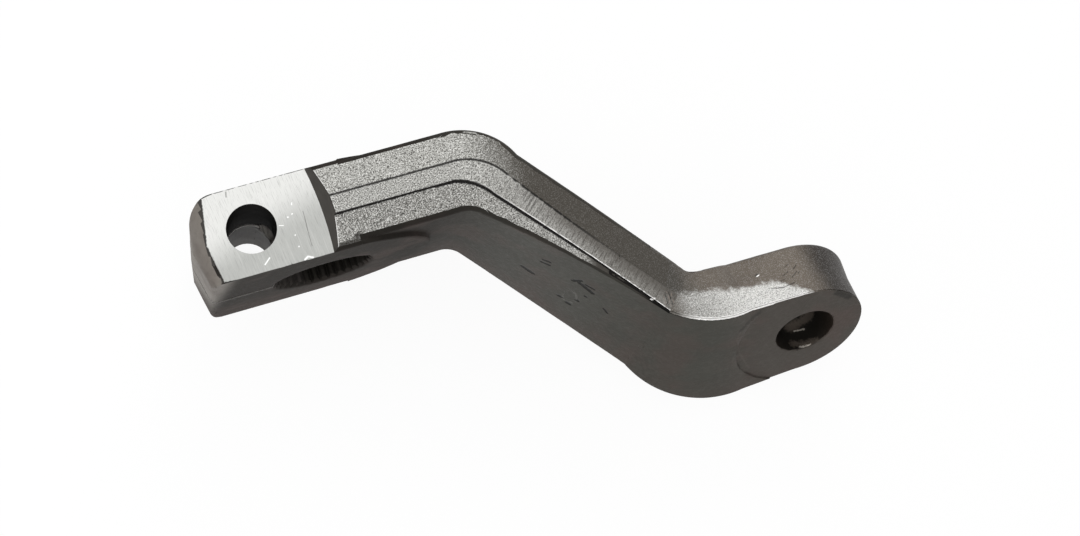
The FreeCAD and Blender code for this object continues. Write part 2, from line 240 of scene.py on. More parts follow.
# Each mark runs from a start to an end, with a half width and how worn it is, all in mm.
# The stamps are generic strokes and dots without a meaning.
STAMPS = [
    ((90.5, -42.2, 19.4), (92.8, -44.2, 20.2), 1.2, 0.5),
    ((90.4, -42.5, 15.6), (92.9, -44.8, 16.3), 1.3, 0.5),
    ((85.6, -39.9, -3.2), (88.8, -43.3, -4.5), 2.2, 2.0),
    ((101.6, -53.8, 12.6), (104.3, -55.4, 17.3), 1.2, 0.8),
    ((103.9, -55.8, 14.0), (108.7, -61.1, 10.7), 1.8, 1.2),
    ((106.1, -57.6, 15.2), (109.0, -60.4, 15.0), 1.0, 0.8),
    ((98.9, -55.7, -12.4), (99.7, -56.4, -12.0), 1.5, 0.6),
    ((102.0, -59.6, -14.2), (102.6, -60.2, -14.0), 1.8, 0.6),
    ((104.6, -60.6, -5.8), (104.9, -60.9, -5.6), 1.4, 0.6),
    ((106.8, -60.9, 3.2), (107.1, -61.2, 3.4), 1.1, 0.6),
    ((113.7, -68.5, 1.5), (114.9, -70.4, -0.5), 0.9, 0.8),
]
FACET = [
    ((212.0, -92.8, 21.0), (218.4, -95.8, 15.9), 2.4, 2.0),
]
SPOT_FACE_SHADE = [
    ((174.8, -91.2, 22.8), (166.2, -96.2, 15.3), 1.6, 2.0),
]
SPOT_FACE_RIM = [
    ((166.2, -96.2, 15.3), (164.9, -99.2, 9.8), 0.7),
    ((164.9, -99.2, 9.8), (168.0, -104.7, -3.8), 0.7),
    ((168.0, -104.7, -3.8), (173.5, -111.2, -15.6), 0.7),
]
WRINKLES = [
    ((134.7, -71.5, 26.6), (134.6, -77.3, 26.2), 0.35, 1.4),
    ((136.9, -71.2, 25.5), (137.1, -77.8, 25.1), 0.35, 1.4),
    ((138.9, -72.2, 24.5), (138.8, -76.8, 24.4), 0.35, 1.4),
]
FOLDS = [
    ((135.8, -71.5, 26.0), (135.8, -77.5, 25.7), 0.4, 1.4),
    ((137.9, -71.7, 25.0), (138.0, -77.3, 24.8), 0.4, 1.4),
]
# Dark nicks; the first is the painted shadow beside the last burr
NICKS_AND_BURR_SHADOW = [
    ((180.0, -74.8, 17.0), (181.2, -74.3, 16.8), 0.55, 0.4),
    ((183.7, -82.7, 21.9), (188.8, -83.7, 22.6), 0.45, 0.5),
    ((188.8, -83.7, 22.6), (194.0, -83.0, 22.3), 0.45, 0.5),
    ((191.0, -78.5, 19.8), (194.0, -77.4, 19.3), 0.36, 0.6),
    ((194.5, -80.4, 20.9), (197.6, -78.4, 19.9), 0.36, 0.6),
    ((196.5, -77.2, 19.3), (199.4, -75.0, 18.3), 0.36, 0.6),
    ((193.0, -75.2, 18.3), (195.5, -74.2, 17.8), 0.36, 0.6),
    ((189.0, -80.6, 20.9), (191.6, -80.2, 20.8), 0.36, 0.6),
    ((197.8, -79.6, 20.6), (199.6, -78.2, 19.9), 0.36, 0.6),
]
# Burrs, drawn as painted highlights
BURR_HIGHLIGHTS = [
    ((127.8, -73.0, 28.7), (130.4, -72.9, 28.3), 0.7, 1.2),
    ((146.8, -86.9, 27.4), (149.1, -88.1, 27.6), 0.8, 1.5),
    ((151.5, -87.9, 27.7), (152.3, -88.1, 27.7), 0.6, 1.2),
    ((180.3, -75.3, 17.4), (181.5, -74.9, 17.2), 0.45, 0.6),
]
PAD_GLINTS = [
    ((-26.6, -15.4, 44.4), (-24.0, -13.2, 44.4), 0.42, 0.2),
    ((-10.3, -17.8, 44.4), (-8.7, -17.0, 44.4), 0.6, 0.4),
    ((-8.7, -17.0, 44.4), (-6.9, -17.9, 44.4), 0.6, 0.4),
    ((-12.2, 1.1, 44.4), (-12.0, 1.1, 44.4), 0.45, 0.2),
    ((-10.1, 1.9, 44.4), (-9.9, 2.0, 44.4), 0.4, 0.2),
    ((-9.1, 5.8, 44.4), (-8.9, 6.4, 44.4), 0.3, 0.6),
    ((-11.3, -7.0, 44.4), (-11.2, -6.9, 44.4), 0.4, 0.2),
    ((-11.2, -12.0, 44.4), (-11.1, -11.9, 44.4), 0.42, 0.2),
    ((-16.5, -1.3, 44.4), (-14.8, -1.8, 44.4), 0.25, 0.2),
]
# The painted shadow of the burr along the pad's left edge
PAD_BURR_SHADOW = [
    ((-44.2, 18.4, 44.4), (-46.6, 4.0, 44.4), 0.75, 0.7),
    ((-46.6, 4.0, 44.4), (-47.6, -1.5, 44.4), 0.8, 0.7),
    ((-47.6, -1.5, 44.4), (-46.2, -10.5, 44.4), 0.8, 0.7),
    ((-46.2, -10.5, 44.4), (-44.8, -17.6, 44.4), 0.75, 0.7),
    ((-44.8, -18.2, 44.4), (-40.5, -18.5, 44.4), 0.5, 0.7),
]
PAD_SCRATCHES = [
    ((-5.4, 1.8, 44.4), (-5.5, -1.6, 44.4), 0.22, 0.3),
    ((-5.5, -1.6, 44.4), (-5.8, -6.7, 44.4), 0.28, 0.3),
    ((-5.8, -6.7, 44.4), (-5.9, -13.2, 44.4), 0.2, 0.3),
    ((-33.5, 18.1, 44.4), (-34.0, 16.1, 44.4), 0.4, 0.4),
    ((-8.2, 19.0, 44.4), (-8.3, 18.6, 44.4), 0.3, 0.3),
]
TAPER_GLINTS = [
    ((199.8, -101.3, -16.6), (204.2, -101.8, -15.4), 0.6, 1.0),
    ((198.9, -109.2, -13.1), (203.9, -109.9, -12.1), 0.9, 2.6),
]
GROOVE_SHEEN = [
    ((-19.8, 10.0, -7.6), (-16.9, 6.9, -12.7), 3.6, 0.6),
]
TAPER_SHEEN = [
    ((209.0, -96.4, -15.0), (198.4, -99.1, -17.6), 3.4, 3.0),
    ((205.9, -108.8, -11.4), (196.6, -106.6, -13.4), 2.6, 3.0),
]


def forge_scale():
    """The dark skin of the forging, with what the photo shows on it."""
    finish = Finish("forge_scale", Metallic=0.6, Specular_IOR_Level=0.15)
    cloud = finish.noise(18.0, 4.0, 0.6)
    mottle = finish.noise(2.2, 3.0, 0.65)
    rust = finish.ramp(finish.noise(26.0, 3.0, 0.55, shift=(7, 3, 1)), 0.46, 0.66)
    # The skin's dark tone is partly the scale's own colour and partly painted shade
    tone = finish.mix(cloud, (0.058, 0.056, 0.048), (0.092, 0.090, 0.078))
    # The left end is painted lighter, as painted light falling on it from the left
    end = finish.ramp(finish.x - finish.z * 0.15, -42.0, -52.0)
    tone = finish.mix(end * 0.85, tone, (0.265, 0.240, 0.215))
    # Painted shade on the underside near the boss, which is also made rougher there
    shade_under_boss = finish.past(90.0, 40.0) * (1 - end)
    tone = finish.mix(shade_under_boss * 0.8, tone, (0.028, 0.023, 0.020))
    eye = finish.ramp(finish.x + (cloud - 0.5) * 40.0, 150.0, 178.0)
    far = finish.ramp(finish.z + (cloud - 0.5) * 30.0, -12.0, -36.0)
    tone = finish.mix(rust * 0.5 + eye * 0.35 + far * 0.4, tone, (0.098, 0.075, 0.066))
    tone = finish.mix(finish.ramp(mottle, 0.55, 0.8) * 0.3, tone, (0.135, 0.131, 0.119))
    # Painted shade on the rounded edges, found by how far their faces tilt
    slope = finish.split(finish.node("NewGeometry", "Normal"))[2]
    tilt = finish.maths("ABSOLUTE", slope) + (mottle - 0.5) * 0.45
    round_edge_shade = finish.ramp(tilt, 0.30, 0.46) * finish.past(138.0, 118.0) * (1 - end)
    round_edge_shade = round_edge_shade * (0.35 + finish.past(50.0, 70.0) * 0.25)
    tone = finish.mix(round_edge_shade, tone, (0.034, 0.031, 0.026))

    # Painted shade: a dark line beside the pad's rim, a dark strip along the bar's rounded low
    # edge, black in the undercut and black below the lip
    rim_width = 0.45 + finish.past(-36.0, -42.0) * 0.75
    from_rim = finish.marked("from_pad_rim") + (mottle - 0.5) * 0.5
    line = finish.ramp(from_rim - rim_width, 0.15, -0.15)
    tone = finish.mix(line * 0.92, tone, (0.008, 0.007, 0.006))
    # Painted shade along the rounded low edge
    strip_width = 2.3 - finish.past(50.0, 66.0) * 0.9
    ragged = (mottle - 0.5) * 2.4 + (cloud - 0.5) * 1.6
    low_edge_shade = finish.ramp(finish.marked("from_low_edge") + ragged - strip_width, 0.35, -0.35)
    low_edge_shade = low_edge_shade * finish.past(136.0, 118.0)
    tone = finish.mix(low_edge_shade * 0.5, tone, (0.036, 0.033, 0.029))
    # Painted shade: black in the undercut past x 122 mm
    under = finish.ramp(finish.marked("from_undercut"), 1.1, 0.7)
    tone = finish.mix(under * finish.past(122.0, 130.0), tone, BLACK)
    # Painted shadow: black below the lip
    shadow_below_lip = finish.ramp(finish.marked("from_lip"), 0.75, 0.35) * finish.past(112.0, 118.0)
    tone = finish.mix(shadow_below_lip * finish.past(146.0, 134.0), tone, BLACK)

    # Painted shade along the ledge round the eye's spot face, a faint lighter line on its rim,
    # the dark facet beside the eye and the die's stamps
    tone = finish.mix(finish.strokes(SPOT_FACE_SHADE) * 0.5, tone, (0.036, 0.034, 0.030))
    tone = finish.mix(finish.strokes(SPOT_FACE_RIM) * 0.15, tone, (0.15, 0.13, 0.118))
    tone = finish.mix(finish.strokes(FACET) * 0.65, tone, (0.022, 0.021, 0.019))
    stamp = finish.strokes(STAMPS)
    ring = finish.vector("SUBTRACT", finish.ragged(1.0), RING_CENTRE)
    ring = finish.vector("LENGTH", finish.vector("MULTIPLY", ring, RING_STRETCH), output="Value")
    broken = finish.ramp(mottle, 0.44, 0.56)
    ring = finish.ramp(finish.maths("ABSOLUTE", ring - RING_RADIUS), 0.9, 0.2) * broken
    tone = finish.mix(stamp * 0.95, tone, (0.005, 0.0045, 0.004))
    tone = finish.mix(ring * 0.5, tone, (0.19, 0.185, 0.17))

    finish.set(Base_Color=tone, Roughness=0.58 + (mottle - 0.5) * 0.3 + shade_under_boss * 0.2)
    fine = finish.noise(0.6, 2.0, 0.6)
    skin = finish.bump(mottle + fine * 0.3, 0.0003, 0.55)
    finish.set(Normal=finish.bump(ring - stamp * 2.0, 0.0005, 0.6, Normal=skin))
    return finish.material


def speckle(finish, tone, grain, weight, light, dark):
    """Blasted grain: bright and dark points over a tone, in the share that weight gives."""
    tone = finish.mix(finish.ramp(grain, 0.52, 0.61) * weight * 0.85, tone, light)
    return finish.mix(finish.ramp(grain, 0.47, 0.38) * weight * 0.92, tone, dark)


def blasted(name, near, far, streaked, worn, faded, lipped, dies_out):
    """The grainy side of the bar: its tone near the boss, its tone past the first bend, how much
    of the streaks of a trimmed edge and of the grain it shows there, how far it fades towards the
    second bend and darkens its upper part with painted shade, whether its low edge gets a painted
    highlight as a bright lip there, and the x in mm where it dies out."""
    finish = Finish(name, Metallic=0.8)
    along = finish.ramp(finish.x - finish.y * 0.15, 62.0, 96.0)
    late = finish.past(86.0, 130.0) * faded
    grain = finish.noise(0.52, 2.0, 0.7)
    coarse = finish.noise(1.7, 3.0, 0.65)
    cloud = finish.noise(14.0, 3.0, 0.6)
    shear = finish.noise(0.55, 2.0, 0.6, stretch=(1.0, 0.10, 0.15), turn=SHEAR_TURN)
    tone = finish.mix(along, near, far)
    lighter = tuple(part * 1.4 for part in near)
    tone = finish.mix(finish.ramp(cloud, 0.35, 0.75) * 0.3, tone, lighter)
    tone = finish.mix(along * (1 - streaked), tone, far)
    grained = 1 - along * (1 - worn)
    tone = speckle(finish, tone, grain, grained, (0.80, 0.795, 0.77), (0.035, 0.033, 0.030))
    streak = along * streaked
    tone = finish.mix(finish.ramp(shear, 0.52, 0.68) * streak * 0.85, tone, (0.50, 0.49, 0.465))
    tone = finish.mix(finish.ramp(shear, 0.48, 0.36) * streak * 0.7, tone, (0.05, 0.046, 0.042))
    tone = finish.mix(late * 0.45, tone, (0.130, 0.118, 0.100))
    # Painted shade on the upper part of the side past the first bend
    level = finish.x * SLOPE_UP.x + finish.y * SLOPE_UP.y
    high = finish.ramp(level + (coarse - 0.5) * 3.0, 43.5, 51.0)
    high = high * finish.past(82.0, 104.0) * faded
    tone = finish.mix(high * 0.75, tone, (0.098, 0.088, 0.076))

    # Painted shade in the parting line's small step, the band's end, painted shade in the undercut
    # and along the low edge, and painted highlights on the lip and beside the wall
    wavy = (coarse - 0.5) * 0.5
    line = finish.ramp(finish.marked("from_dark_line") + wavy, 0.75, 0.25)
    fading = 1 - finish.past(98.0, 128.0) * 0.85
    tone = finish.mix(line * fading * 0.92, tone, (0.012, 0.011, 0.010))
    bare = finish.ramp(finish.x + wavy * 4.0, dies_out, dies_out + 6.0)
    tone = finish.mix(bare, tone, (0.070, 0.064, 0.056))
    bold = finish.past(46.0, 60.0) * finish.past(114.0, 90.0)
    width = 0.30 + (0.30 + bold * 0.45) * (1 - lipped)
    # Painted shade: black in the undercut, left out where the lip is painted bright
    under = finish.ramp(finish.marked("from_undercut") + wavy - width, 0.18, -0.18)
    under = under * (1 - along * lipped)
    tone = finish.mix(under * 0.97, tone, (0.005, 0.004, 0.004))
    # Painted shade along the low edge near the wall
    low_strip = finish.ramp(finish.marked("from_low_edge") + wavy * 2.0, 1.9, 1.1)
    tone = finish.mix(low_strip * finish.past(17.0, 13.0) * 0.85, tone, (0.030, 0.027, 0.023))
    # Painted highlights: a white line on the lip and one beside the wall
    edge = finish.maths("MINIMUM", finish.marked("from_lip"), finish.marked("from_undercut"))
    lip = finish.ramp(edge + wavy * 0.5, 0.62, 0.30) * along * lipped
    corner = finish.ramp(finish.marked("from_wall") + wavy, 0.45, 0.15) * 0.7
    tone = finish.mix(finish.maths("MAXIMUM", lip, corner), tone, (0.92, 0.91, 0.89))
    tone = finish.mix(finish.strokes(WRINKLES) * 0.8, tone, (0.30, 0.25, 0.22))
    tone = finish.mix(finish.strokes(FOLDS) * 0.8, tone, (0.03, 0.026, 0.023))
    tone = finish.mix(finish.strokes(BURR_HIGHLIGHTS), tone, (0.95, 0.94, 0.92))

    finish.set(Base_Color=tone, Roughness=0.50 + (coarse - 0.5) * 0.2)
    soft = finish.bump(coarse, 0.0005, 0.6)
    finish.set(Normal=finish.bump(grain, 0.0004, 0.8, Normal=soft))
    return finish.material


def neck_side():
    """The side from the second bend to the eye: brown scale above a worn lower part with a painted
    highlight.
    """
    finish = Finish("forged_neck_side", Metallic=0.75)
    grain = finish.noise(0.48, 2.0, 0.7)
    coarse = finish.noise(2.4, 3.0, 0.65)
    cloud = finish.noise(11.0, 3.0, 0.6)
    away = finish.vector("SUBTRACT", finish.point, tuple(EYE_CENTRE / MM))
    height = finish.vector("DOT_PRODUCT", away, tuple(EYE_AXIS), output="Value")
    # The bright lower part: worn metal, painted brighter still as a highlight
    limit = finish.maths("MINIMUM", 14.1 - (finish.x - 148.0) * 0.082, (200.0 - finish.x) * 0.85)
    bright = finish.ramp(limit - height + (coarse - 0.5) * 7.0, -1.6, 2.2)
    bright = bright * finish.past(137.0, 149.0)
    start = finish.past(141.0, 160.0)
    brown = finish.mix(cloud, (0.108, 0.088, 0.070), (0.186, 0.160, 0.132))
    tone = finish.mix(start, (0.075, 0.068, 0.058), brown)
    # The lower part is painted lighter before the neck starts, as a painted highlight
    low = finish.ramp(14.5 - height, 0.0, 2.0) * (1 - start)
    tone = finish.mix(low * 0.8, tone, (0.125, 0.112, 0.096))
    # Painted shade where the eye's side turns away past x 200 mm, and a lighter rim at its end as a
    # painted highlight
    rim = finish.ramp(finish.x + finish.z * 0.25, 224.0, 230.0)
    turn_shade = finish.ramp(finish.x + (cloud - 0.5) * 8.0, 200.0, 213.0) * (1 - rim)
    tone = finish.mix(turn_shade * 0.94, tone, (0.024, 0.019, 0.016))
    tone = finish.mix(rim * 0.8, tone, (0.066, 0.059, 0.051))
    # The tone of the bright lower part: worn metal and painted highlight
    worn = finish.mix(finish.past(146.0, 172.0), (0.44, 0.435, 0.415), (0.80, 0.795, 0.77))
    tone = finish.mix(bright * 0.92, tone, worn)
    grained = bright * 0.6 + 0.15
    tone = speckle(finish, tone, grain, grained, (0.98, 0.975, 0.96), (0.13, 0.125, 0.115))
    # Painted highlight along the lip
    lip = finish.ramp(finish.marked("from_lip") + (coarse - 0.5) * 0.5, 0.6, 0.3)
    tone = finish.mix(lip * bright, tone, (0.95, 0.94, 0.92))
    tone = finish.mix(finish.strokes(NICKS_AND_BURR_SHADOW) * 0.75, tone, (0.030, 0.026, 0.023))
    tone = finish.mix(finish.strokes(BURR_HIGHLIGHTS), tone, (0.98, 0.97, 0.95))
    finish.set(Base_Color=tone, Roughness=0.52 + (coarse - 0.5) * 0.2)
    soft = finish.bump(coarse, 0.0005, 0.5)
    finish.set(Normal=finish.bump(grain * (bright * 0.8 + 0.2), 0.0005, 0.8, Normal=soft))
    return finish.material


def milled_pad():
    """The bright face of a pad: cutter streaks, scratches, painted light and glints, painted shade
    at rim and burr.
    """
    finish = Finish("milled_pad", Metallic=1.0)
    streaks = finish.noise(1.3, 3.0, 0.65, stretch=(2.0, 0.05, 1.0), turn=MILLING_TURN)
    fine = finish.noise(0.5, 2.0, 0.6, stretch=(2.5, 0.10, 1.0), turn=MILLING_TURN)
    cloud = finish.noise(12.0, 4.0, 0.6)
    # A painted gradient of light across the pad
    lit = finish.ramp(finish.y * 2.0 - finish.x * 0.6, -6.0, 34.0)
    tone = finish.mix(cloud, (0.37, 0.375, 0.36), (0.47, 0.475, 0.455))
    tone = finish.mix(lit * 0.8, tone, (0.74, 0.74, 0.72))
    tone = finish.mix(finish.ramp(streaks, 0.50, 0.72) * 0.3, tone, (0.64, 0.64, 0.62))
    tone = finish.mix(finish.ramp(fine, 0.46, 0.30) * 0.45, tone, (0.24, 0.24, 0.23))
    # Painted shade along the pad's rim, wider at its left end and at the edge towards +y
    width = 0.10 + finish.past(-37.0, -43.0) * 0.25
    width = width + finish.ramp(finish.y, 16.0, 19.0) * 0.18
    line = finish.ramp(finish.marked("from_pad_rim") + (cloud - 0.5) * 0.3 - width, 0.10, -0.10)
    tone = finish.mix(line * 0.92, tone, (0.02, 0.019, 0.017))
    # Painted shadow beside the burr
    tone = finish.mix(finish.strokes(PAD_BURR_SHADOW) * 0.95, tone, (0.016, 0.014, 0.012))
    tone = finish.mix(finish.strokes(PAD_SCRATCHES) * 0.6, tone, (0.12, 0.118, 0.112))
    tone = finish.mix(finish.strokes(PAD_GLINTS) * 0.75, tone, (0.98, 0.98, 0.97))
    finish.set(Base_Color=tone, Roughness=0.42 + (cloud - 0.5) * 0.2 + (streaks - 0.5) * 0.2)
    finish.set(Normal=finish.bump(fine + streaks, 0.0001, 0.5))
    return finish.material


def bored_steel():
    """The walls of the bore, the slit, the bolt's hole and the taper, painted dark for the shade in
    them.
    """
    finish = Finish("bored_steel", Specular_IOR_Level=0.0)
    cloud = finish.noise(7.0, 3.0, 0.6)
    turned = finish.noise(0.5, 2.0, 0.5, stretch=(0.1, 0.1, 1.0))
    # Painted shade: the walls are painted near black
    tone = finish.mix(cloud, (0.014, 0.013, 0.011), (0.034, 0.031, 0.027))
    # The bolt's hole: painted shade on its near half, where the metallic is also lowered below, and
    # its far half painted lighter as lit
    bolt_hole = finish.past(-5.0, -9.0)
    near_half = finish.ramp(finish.z, -1.0, 1.0) * bolt_hole
    tone = finish.mix(near_half * 0.8, tone, (0.012, 0.011, 0.010))
    tone = finish.mix(bolt_hole * (1 - near_half) * 0.8, tone, (0.070, 0.063, 0.058))
    # The taper's wall is painted a lighter brown towards higher z, as a painted sheen
    eye_hole = finish.past(180.0, 184.0)
    brown_sheen_in_taper = eye_hole * finish.ramp(finish.z, -16.0, 6.0)
    tone = finish.mix(brown_sheen_in_taper * 0.8, tone, (0.085, 0.062, 0.048))
    # A painted highlight: a thin bright line in the bolt's hole at the slit
    edge = finish.ramp(finish.maths("ABSOLUTE", finish.z + 2.0), 0.7, 0.3) * bolt_hole
    tone = finish.mix(edge * 0.8, tone, (0.85, 0.82, 0.78))
    tone = finish.mix(finish.strokes(GROOVE_SHEEN) * 0.8, tone, (0.20, 0.19, 0.175))
    tone = finish.mix(finish.strokes(TAPER_SHEEN) * 0.55, tone, (0.21, 0.175, 0.145))
    tone = finish.mix(finish.strokes(TAPER_GLINTS) * 0.7, tone, (0.75, 0.70, 0.62))
    finish.set(Metallic=0.55 - near_half * 0.35)
    finish.set(Base_Color=tone, Roughness=0.48 + (cloud - 0.5) * 0.2)
    finish.set(Normal=finish.bump(turned, 0.00008, 0.4))
    return finish.material


def milled_wall():
    """The walls that the cutter leaves at the ends of the pads, painted dark as the shade they
    show.
    """
    finish = Finish("milled_wall", Metallic=0.7, Specular_IOR_Level=0.3)
    cloud = finish.noise(8.0, 3.0, 0.6)
    rings = finish.noise(0.6, 2.0, 0.5, stretch=(0.15, 0.15, 2.0))
    # Painted shade: a dark tone for the walls
    tone = finish.mix(cloud, (0.040, 0.037, 0.033), (0.066, 0.061, 0.055))
    finish.set(Base_Color=tone, Roughness=0.5 + (rings - 0.5) * 0.2)
    finish.set(Normal=finish.bump(rings, 0.00008, 0.4))
    return finish.material


# The arm as it is cut and forged, on a copy of the frame's own piece
cad_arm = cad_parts["pitman_arm"]
cad_arm.select_set(True)
bpy.context.view_layer.objects.active = cad_arm
bpy.ops.object.duplicate()
arm = bpy.context.object
arm.name = "forged_arm"
arm.parent = None
mesh = arm.data
mesh.materials.clear()
finishes = {
    SKIN: forge_scale(),
    PAD: milled_pad(),
    BORED: bored_steel(),
    WALL: milled_wall(),
    # Past the first bend the upper side turns dark: partly brown scale, partly painted shade
    UPPER: blasted("blasted_upper_side", near=(0.38, 0.377, 0.352), far=(0.078, 0.070, 0.059),
                   streaked=0.0, worn=0.10, faded=0.0, lipped=0.0, dies_out=NEVER),
    LAND: blasted("trimmed_land", near=(0.37, 0.367, 0.345), far=(0.33, 0.322, 0.302),
                  streaked=0.9, worn=0.5, faded=1.0, lipped=1.0, dies_out=NEVER),
    LOWER: blasted("blasted_lower_side", near=(0.26, 0.256, 0.238), far=(0.33, 0.324, 0.304),
                   streaked=0.3, worn=1.0, faded=0.0, lipped=0.0, dies_out=103.0),
    NECK: neck_side(),
}
for material in finishes.values():
    mesh.materials.append(material)


def edit(select_mode="FACE"):
    bpy.ops.object.mode_set(mode="EDIT")
    bpy.ops.mesh.select_mode(type=select_mode)


def done():
    bpy.ops.object.mode_set(mode="OBJECT")


def clear_selection():
    edit()
    bpy.ops.mesh.select_all(action="DESELECT")
    done()


edit("VERT")
bpy.ops.mesh.select_all(action="SELECT")
bpy.ops.mesh.remove_doubles(threshold=MERGE_DISTANCE)
done()


# Which finish each face of the CAD piece gets
def from_bolt(point):
    return (Vector((point.x, point.y, 0.0)) - BOLT_AXIS).length


def eye_place(point):
    """How far a point lies along the eye's axis and how far from it."""
    offset = point - EYE_CENTRE
    height = offset.dot(EYE_AXIS)
    return height, (offset - EYE_AXIS * height).length


def cut_surface(polygon):
    """Which tool has cut a face, by its place and its slope."""
    point, normal = polygon.center, polygon.normal
    at_pad_height = abs(abs(point.z) - PAD_HEIGHT) < FLUSH
    if abs(normal.z) > 0.99 and at_pad_height and point.x < PAD_END:
        return PAD
    corners = [mesh.vertices[index].co for index in polygon.vertices]
    bore_reach = max(Vector((corner.x, corner.z)).length for corner in corners)
    if bore_reach < MOUTH_RADIUS and abs(normal.y) < 0.1:
        return BORED
    on_bolt = all(abs(from_bolt(corner) - BOLT_RADIUS) < BOLT_BEVEL for corner in corners)
    if on_bolt and abs(normal.z) < 0.3:
        return BORED
    in_slit = point.x < 0.0 and abs(point.z) < SLIT_WIDTH / 2 + FLUSH
    if in_slit and abs(normal.z) > 0.9:
        return BORED
    reach = eye_place(point)[1]
    if point.x > EYE_START and reach < TAPER_RADIUS and abs(normal.dot(EYE_AXIS)) < 0.3:
        return BORED
    on_wall = point.x < WALL_END and abs(point.z) > WALL_SIDE
    if on_wall and -0.80 < normal.x < -0.40 and 0.55 < abs(normal.z) < 0.85:
        return WALL
    return SKIN


def faces_by_edge():
    """The indices of the faces at each edge."""
    faces = {}
    for polygon in mesh.polygons:
        for key in polygon.edge_keys:
            faces.setdefault(key, []).append(polygon.index)
    return faces


def clamped(share):
    return min(max(share, 0.0), 1.0)


def crosses_bar(key, x):
    """Whether an edge runs across the bar and not along it.

    The bar turns into the slope from x 60 to 72 and out of it from x 130 to 172, in mm."""
    first, second = (mesh.vertices[index].co for index in key)
    bend = clamped((x / MM - 60) / 12) * clamped((172 - x / MM) / 42)
    along = Vector((1.0, 0.0, 0.0)).lerp(SLOPE, bend).normalized()
    return abs((first - second).normalized().dot(along)) < 0.5


def flood_band(band, slope, low, high):
    """Gives a finish to one band of both sides of the bar, from its part near the boss onwards.

    Near the boss the band lies between the heights low and high, in mm, and its faces have the
    slope. From there it spreads over shallow turns, and over steeper ones across the bar."""
    waiting = []
    for polygon in mesh.polygons:
        point, normal = polygon.center, polygon.normal
        level = LEVEL_START < point.x < LEVEL_END and low * MM < point.y < high * MM
        if level and abs(point.z) > LEVEL_SIDE and abs(normal.y - slope) < 0.012:
            waiting.append(polygon)
    while waiting:
        polygon = waiting.pop()
        if polygon.material_index != SKIN or polygon.center.x > NECK_START:
            continue
        polygon.material_index = band
        for key in polygon.edge_keys:
            for neighbour in (mesh.polygons[index] for index in beside[key]):
                turn = polygon.normal.angle(neighbour.normal, 0.0)
                steep = turn < radians(20) and crosses_bar(key, polygon.center.x)
                if turn < radians(4.5) or steep:
                    waiting.append(neighbour)


def hand_over_slivers():
    """Gives each sliver of skin on the slope's sides the finish that most neighbours have."""
    for polygon in mesh.polygons:
        on_slope = SLIVER_START < polygon.center.x < NECK_START and abs(polygon.normal.z) > 0.8
        if polygon.material_index == SKIN and on_slope and polygon.area < SLIVER_AREA:
            neighbours = [index for key in polygon.edge_keys for index in beside[key]
                          if index != polygon.index]
            kinds = [mesh.polygons[index].material_index for index in neighbours]
            polygon.material_index = max(kinds, key=lambda kind: (kinds.count(kind), kind))


def on_neck_side(polygon):
    point, normal = polygon.center, polygon.normal
    upright = BEND_UP if point.x < NECK_TURN else EYE_AXIS
    height, reach = eye_place(point)
    ledge = abs(reach - SPOT_FACE_RADIUS) < 0.5 * MM and height < 0.7 * MM
    return point.x > NECK_START - 5 * MM and abs(normal.dot(upright)) < 0.55 and not ledge


for polygon in mesh.polygons:
    polygon.material_index = cut_surface(polygon)
beside = faces_by_edge()
flood_band(LAND, 0.0, -3.6, 4.6)
flood_band(UPPER, UPPER_DRAFT, 4.4, 18.0)
flood_band(LOWER, -LOWER_DRAFT, -16.0, -3.4)
for _ in range(3):
    hand_over_slivers()
for polygon in mesh.polygons:
    if polygon.material_index == SKIN and on_neck_side(polygon):
        polygon.material_index = NECK


# A mesh that is fine enough for the lines and for the swell
def halve(wanted):
    """Halves the edges that are wanted, with one flag for each, and makes triangles of the rest."""
    clear_selection()
    for edge, chosen in zip(mesh.edges, wanted):
        edge.select = chosen
    edit("EDGE")
    bpy.ops.mesh.subdivide(number_cuts=1)
    bpy.ops.mesh.select_all(action="SELECT")
    bpy.ops.mesh.quads_convert_to_tris(quad_method="SHORTEST_DIAGONAL", ngon_method="BEAUTY")
    done()


def longer_than(limit):
    """A flag for each edge: whether it is longer than limit."""
    places = [vertex.co for vertex in mesh.vertices]
    return [(places[edge.vertices[0]] - places[edge.vertices[1]]).length > limit
            for edge in mesh.edges]


def refine(limit, creases_only):
    """Halves the edges longer than limit, all of them or those in creases, up to four times."""
    for _ in range(4):
        edit("EDGE")
        bpy.ops.mesh.select_all(action="DESELECT" if creases_only else "SELECT")
        if creases_only:
            bpy.ops.mesh.edges_select_sharp(sharpness=radians(6))
        done()
        wanted = [edge.select and long for edge, long in zip(mesh.edges, longer_than(limit))]
        if not any(wanted):
            return
        halve(wanted)


def clear_flat_faces():
    """Takes away faces that hang on an edge of two others, and closes faces without width."""
    faces = faces_by_edge()
    clear_selection()
    for polygon in mesh.polygons:
        polygon.select = sorted(len(faces[key]) for key in polygon.edge_keys) == [1, 1, 3]
    edit()
    bpy.ops.mesh.delete(type="FACE")
    bpy.ops.mesh.select_all(action="SELECT")
    bpy.ops.mesh.dissolve_degenerate(threshold=FLAT_WIDTH)
    done()


def kinds_around():
    """The finishes of the faces at each vertex."""
    kinds = [set() for _ in mesh.vertices]
    for polygon in mesh.polygons:
        for index in polygon.vertices:
            kinds[index].add(polygon.material_index)
    return kinds


def split_short_cuts():
    """Halves each edge that joins two lines across one finish, so that no line shows along it."""
    lined = [len(kinds) > 1 for kinds in kinds_around()]
    beside_edge = {key: {mesh.polygons[index].material_index for index in faces}
                   for key, faces in faces_by_edge().items()}
    halve([len(beside_edge[edge.key]) == 1 and all(lined[index] for index in edge.vertices)
           for edge in mesh.edges])


def refine_beside_lines(limit, lined_kinds):
    """Halves the long edges that start from a line, so that the line keeps an even width."""
    lined = [len(kinds & lined_kinds) > 1 for kinds in kinds_around()]
    halve([long and any(lined[index] for index in edge.vertices)
           for edge, long in zip(mesh.edges, longer_than(limit))])


